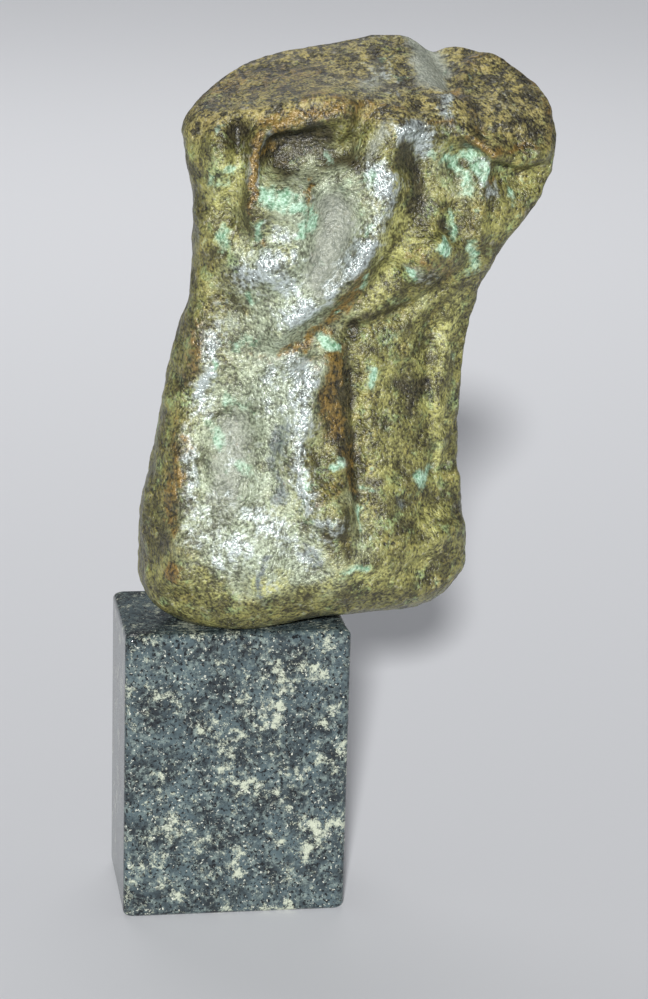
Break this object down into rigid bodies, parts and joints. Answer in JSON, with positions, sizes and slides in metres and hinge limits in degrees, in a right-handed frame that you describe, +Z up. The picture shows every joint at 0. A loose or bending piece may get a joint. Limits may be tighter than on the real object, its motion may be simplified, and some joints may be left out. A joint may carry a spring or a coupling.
{
  "type": "bronze torso sculpture",
  "caption": "Cast bronze torso fragment, broken at neck, arms and thighs, leaning upright on a polished granite block.",
  "frame": {"origin": "centre of the block's underside", "axes": "+Z up, the torso's front towards -Y, +X towards the side where the torso overhangs the block"},
  "size_m": [0.1432, 0.0661, 0.2958],
  "materials": {
    "patinated_bronze": "cast bronze with an olive green and brown patina, verdigris in patches, rubbed bright on the high places",
    "polished_granite": "polished black granite with grey green feldspar"
  },
  "bodies": {
    "root": {"bronze_torso": "patinated_bronze", "granite_plinth": "polished_granite"}
  },
  "joints": []
}
